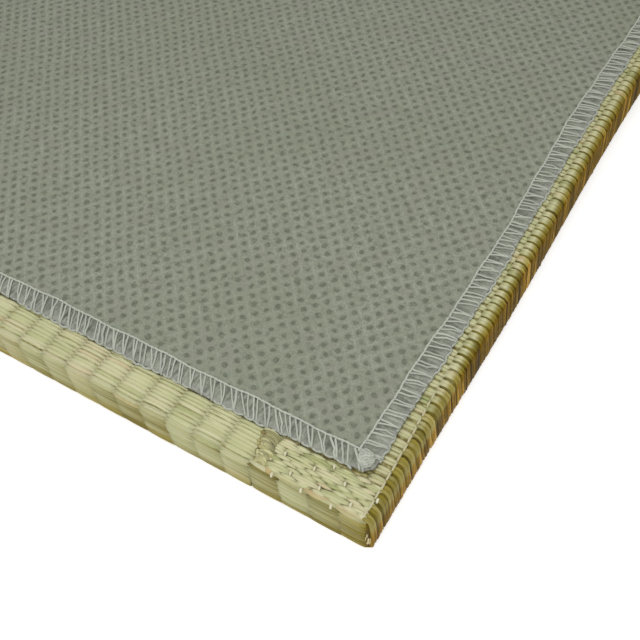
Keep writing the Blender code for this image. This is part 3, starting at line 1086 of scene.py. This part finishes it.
def overlock(label, alongX, facing, seed):
    dice = np.random.default_rng(seed)
    run = clothSize["halfX"] if alongX else clothSize["halfY"]
    rim = clothSize["halfY"] if alongX else clothSize["halfX"]
    shift = stitching["frontShift"] if alongX else stitching["sideShift"]
    travel = -facing if alongX else facing  # the seam runs round the mat one way

    def place(u, w, h):
        u, w, h = np.broadcast_arrays(u, w, h)
        if alongX:
            w = w + hemPull(run - np.abs(u), w)
        out = facing * (rim - w)
        return np.stack([u, out, h] if alongX else [out, u, h], axis=-1)

    def wobble(u, phase):
        waves = ((0.16, 5.3, 1), (0.12, 2.1, 2), (0.1, 13, 3))
        return sum(size * np.sin(u / length + times * phase) for size, length, times in waves)

    ends = run - stitching["endGap"]
    count = 2 * int((ends + 1) / stitching["step"])
    pair = -ends + 2 * stitching["step"] * np.repeat(np.arange(count // 2), 2)
    pair = pair + np.repeat(dice.normal(0, 0.16, count // 2), 2)
    which = np.tile([-1.0, 1.0], count // 2)
    spreadOut = np.repeat(bounded(dice, 0.70, 0.13, 0.4, 0.95, count // 2), 2)
    spreadIn = np.repeat(bounded(dice, 0.16, 0.2, -0.05, 0.7, count // 2), 2)
    inner = pair + which * spreadOut + dice.normal(0, 0.08, count)
    outer = pair + travel * shift + np.repeat(dice.normal(0, 0.3, count // 2), 2) + which * spreadIn
    inner = np.clip(inner, -run + 5.4, run - 5.4)
    lowest = -run + 0.9 + dice.uniform(0, 0.8, count)
    outer = np.clip(outer, lowest, run - 0.9 - dice.uniform(0, 0.8, count))
    w = np.array([5.45, 4.7, 3.6, 2.4, 1.2, 0.35, -0.12])
    lift = np.array([0.05, 0.16, 0.22, 0.22, 0.2, 0.12, -0.25])
    share = (w[0] - w) / (w[0] - w[-1])
    u = inner[:, None] * (1 - share) + outer[:, None] * share
    u = u + dice.normal(0, 0.16, count)[:, None] * np.sin(share * math.pi)
    u = u + dice.normal(0, 0.09, count)[:, None] * np.sin(share * 3 * math.pi)
    w = w[None] + wobble(inner, 1.0)[:, None] * (1 - share) + dice.normal(0, 0.16, count)[:, None] * share
    h = stitching["top"] + lift + dice.normal(0, 0.04, count)[:, None]
    hues = bounded(dice, 0.6, 0.25, 0, 1, count)
    radii = stitching["legRadius"] * bounded(dice, 1, 0.12, 0.7, 1.3, count)
    legs = Bundle()
    for path, radius, hue in zip(place(u, w, h), radii, hues):
        # legs darken toward the rim, where they turn down over the edge: painted shade
        legs.add(path, radius, hue, np.array([0.0, 0.0, 0.0, 0.0, 0.05, 0.15, 0.3]))
    made = [strandPiece("overlockLegs" + label, legs, hemThread, sides=5)]
    for seam in stitching["lines"]:
        lines = Bundle()
        length = 2 * ends / stitching["pieces"]
        for k in range(stitching["pieces"]):
            start = -ends + length * k
            t = np.linspace(start, start + length + 0.1, stitching["rings"])
            beat = 2 * math.pi * t / (2 * stitching["step"])
            across = seam["inset"] + wobble(t, seam["phase"]) * seam["wobble"]
            across = across + seam["loop"] * np.sin(beat + dice.normal(0, 0.3))
            high = seam["height"] + 0.07 * np.cos(2 * beat)
            radius = seam["radius"] * (1 + 0.18 * np.cos(2 * beat))
            lines.add(place(t, across, high), radius, seam["hue"], seam["dark"])
        name = "overlock" + seam["name"] + label
        made.append(strandPiece(name, lines, hemThread, sides=5))
    return made


sewing = []
seams = (("Front", True, -1, 51), ("Back", True, 1, 52), ("Right", False, 1, 53), ("Left", False, -1, 54))
for seam in seams:
    sewing += overlock(*seam)


# knots of thread tails on the hem's corners

knotSize = {
    "fromSide": 8.7,
    "fromFront": 14.1,
    "long": 2.8,
    "broad": 2.3,
    "radius": 0.29,
    "loops": 30,
    "low": 16.0,
    "high": 1.5,
}


def makeKnot(corner, side, facing, seed):
    dice = np.random.default_rng(seed)
    turn = np.linspace(0.15, 2 * math.pi - 0.15, 16)
    loops = Bundle()
    for k in range(knotSize["loops"]):
        away = 1.25 * math.sqrt(dice.random())
        where = dice.uniform(0, 2 * math.pi)
        centre = np.array([away * math.cos(where), 0.8 * away * math.sin(where)])
        wide, narrow, spin = dice.uniform(0.9, 1.6), dice.uniform(0.35, 0.95), dice.uniform(0, math.pi)
        a = wide * np.cos(turn) + 0.15 * np.sin(3 * turn + k)
        b = narrow * np.sin(turn) + 0.12 * np.cos(2 * turn + k)
        u = centre[0] + a * math.cos(spin) - b * math.sin(spin)
        v = centre[1] + a * math.sin(spin) + b * math.cos(spin)
        off = (u / (knotSize["long"] + 0.3)) ** 2 + (v / (knotSize["broad"] + 0.3)) ** 2
        dome = np.sqrt(np.clip(1 - off, 0.02, 1))
        z = knotSize["low"] - 0.25 + knotSize["high"] * dome * dice.uniform(0.55, 1.0)
        z = z + 0.12 * np.sin(2 * turn + k)
        lean = math.atan2(facing, side)
        x = side * (mat["half"] - knotSize["fromSide"]) + u * math.cos(lean) - v * math.sin(lean)
        y = facing * (mat["half"] - knotSize["fromFront"]) + u * math.sin(lean) + v * math.cos(lean)
        radius, hue = knotSize["radius"] * dice.uniform(0.75, 1.1), dice.uniform(0.3, 1.1)
        loops.add(np.stack([x, y, z], axis=1), radius, hue, dice.uniform(0, 0.3))
    name = "threadKnot" + corner.title().replace("_", "")
    piece = strandPiece(name, loops, hemThread)
    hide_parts("thread_knot_" + corner)
    return piece


for index, (corner, (side, facing)) in enumerate(corners.items()):
    sewing.append(makeKnot(corner, side, facing, 61 + index))
